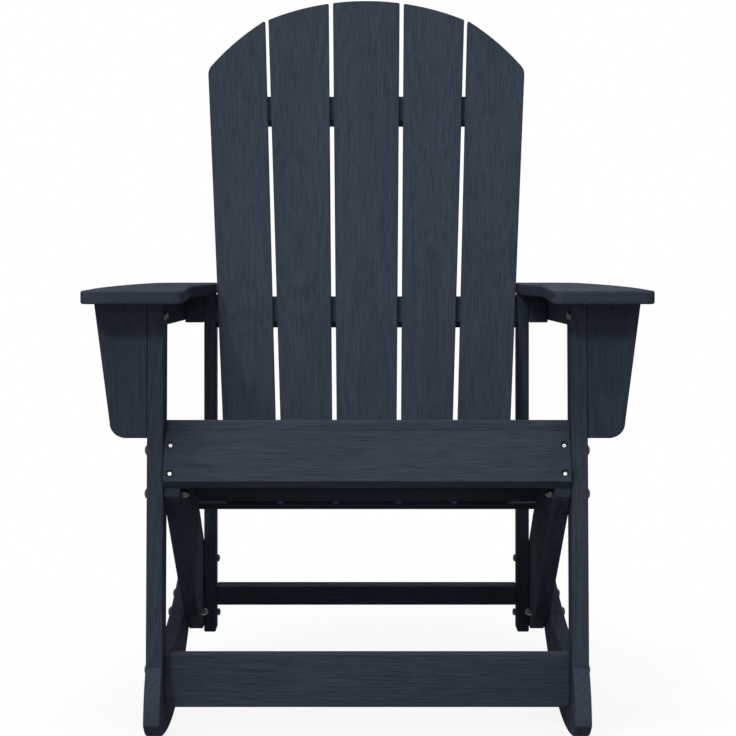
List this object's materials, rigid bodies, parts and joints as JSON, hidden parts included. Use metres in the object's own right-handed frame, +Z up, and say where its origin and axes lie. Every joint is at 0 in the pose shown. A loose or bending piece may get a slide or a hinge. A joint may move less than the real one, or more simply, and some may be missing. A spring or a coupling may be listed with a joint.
{
  "type": "rocking adirondack chair",
  "caption": "Fan-back slatted outdoor armchair on curved runners, with a sloping seat, wide flat arms and arm brackets, in grained dark plastic lumber.",
  "frame": {"origin": "on the floor, under the middle of the chair's box; the runners touch the floor a little in front of it when the chair stands level", "axes": "+X towards the sitter's left arm, seen from the front as right; +Y from the seat's front edge towards the back; +Z up"},
  "size_m": [0.7472, 0.8692, 1.0496],
  "materials": {
    "poly_lumber": "matte dark navy grey lumber with an embossed wood grain along each board",
    "fastener_steel": "bright stainless steel"
  },
  "bodies": {
    "root": {"apron_screws": "fastener_steel", "arm_block_screws": "fastener_steel", "arm_screws": "fastener_steel", "back_screws": "fastener_steel", "bracket_lags": "fastener_steel", "front_stretcher": "poly_lumber", "front_stretcher_lags": "fastener_steel", "left_arm": "poly_lumber", "left_arm_block": "poly_lumber", "left_arm_bracket": "poly_lumber", "left_arm_rail": "poly_lumber", "left_front_leg": "poly_lumber", "left_inner_back_slat": "poly_lumber", "left_outer_back_slat": "poly_lumber", "left_rear_upright": "poly_lumber", "left_runner": "poly_lumber", "left_seat_rail": "poly_lumber", "lower_back_rail": "poly_lumber", "middle_back_rail": "poly_lumber", "middle_back_slat": "poly_lumber", "rail_end_screws": "fastener_steel", "rail_foot_screws": "fastener_steel", "rear_stretcher": "poly_lumber", "rear_stretcher_lags": "fastener_steel", "right_arm": "poly_lumber", "right_arm_block": "poly_lumber", "right_arm_bracket": "poly_lumber", "right_arm_rail": "poly_lumber", "right_front_leg": "poly_lumber", "right_inner_back_slat": "poly_lumber", "right_outer_back_slat": "poly_lumber", "right_rear_upright": "poly_lumber", "right_runner": "poly_lumber", "right_seat_rail": "poly_lumber", "seat_apron": "poly_lumber", "seat_screws": "fastener_steel", "seat_slat_1": "poly_lumber", "seat_slat_2": "poly_lumber", "seat_slat_3": "poly_lumber", "seat_slat_4": "poly_lumber", "seat_slat_5": "poly_lumber", "side_bolts": "fastener_steel", "side_nuts": "fastener_steel", "side_washers": "fastener_steel", "upper_back_rail": "poly_lumber", "upright_bolts": "fastener_steel", "upright_nuts": "fastener_steel", "upright_washers": "fastener_steel"}
  },
  "joints": []
}
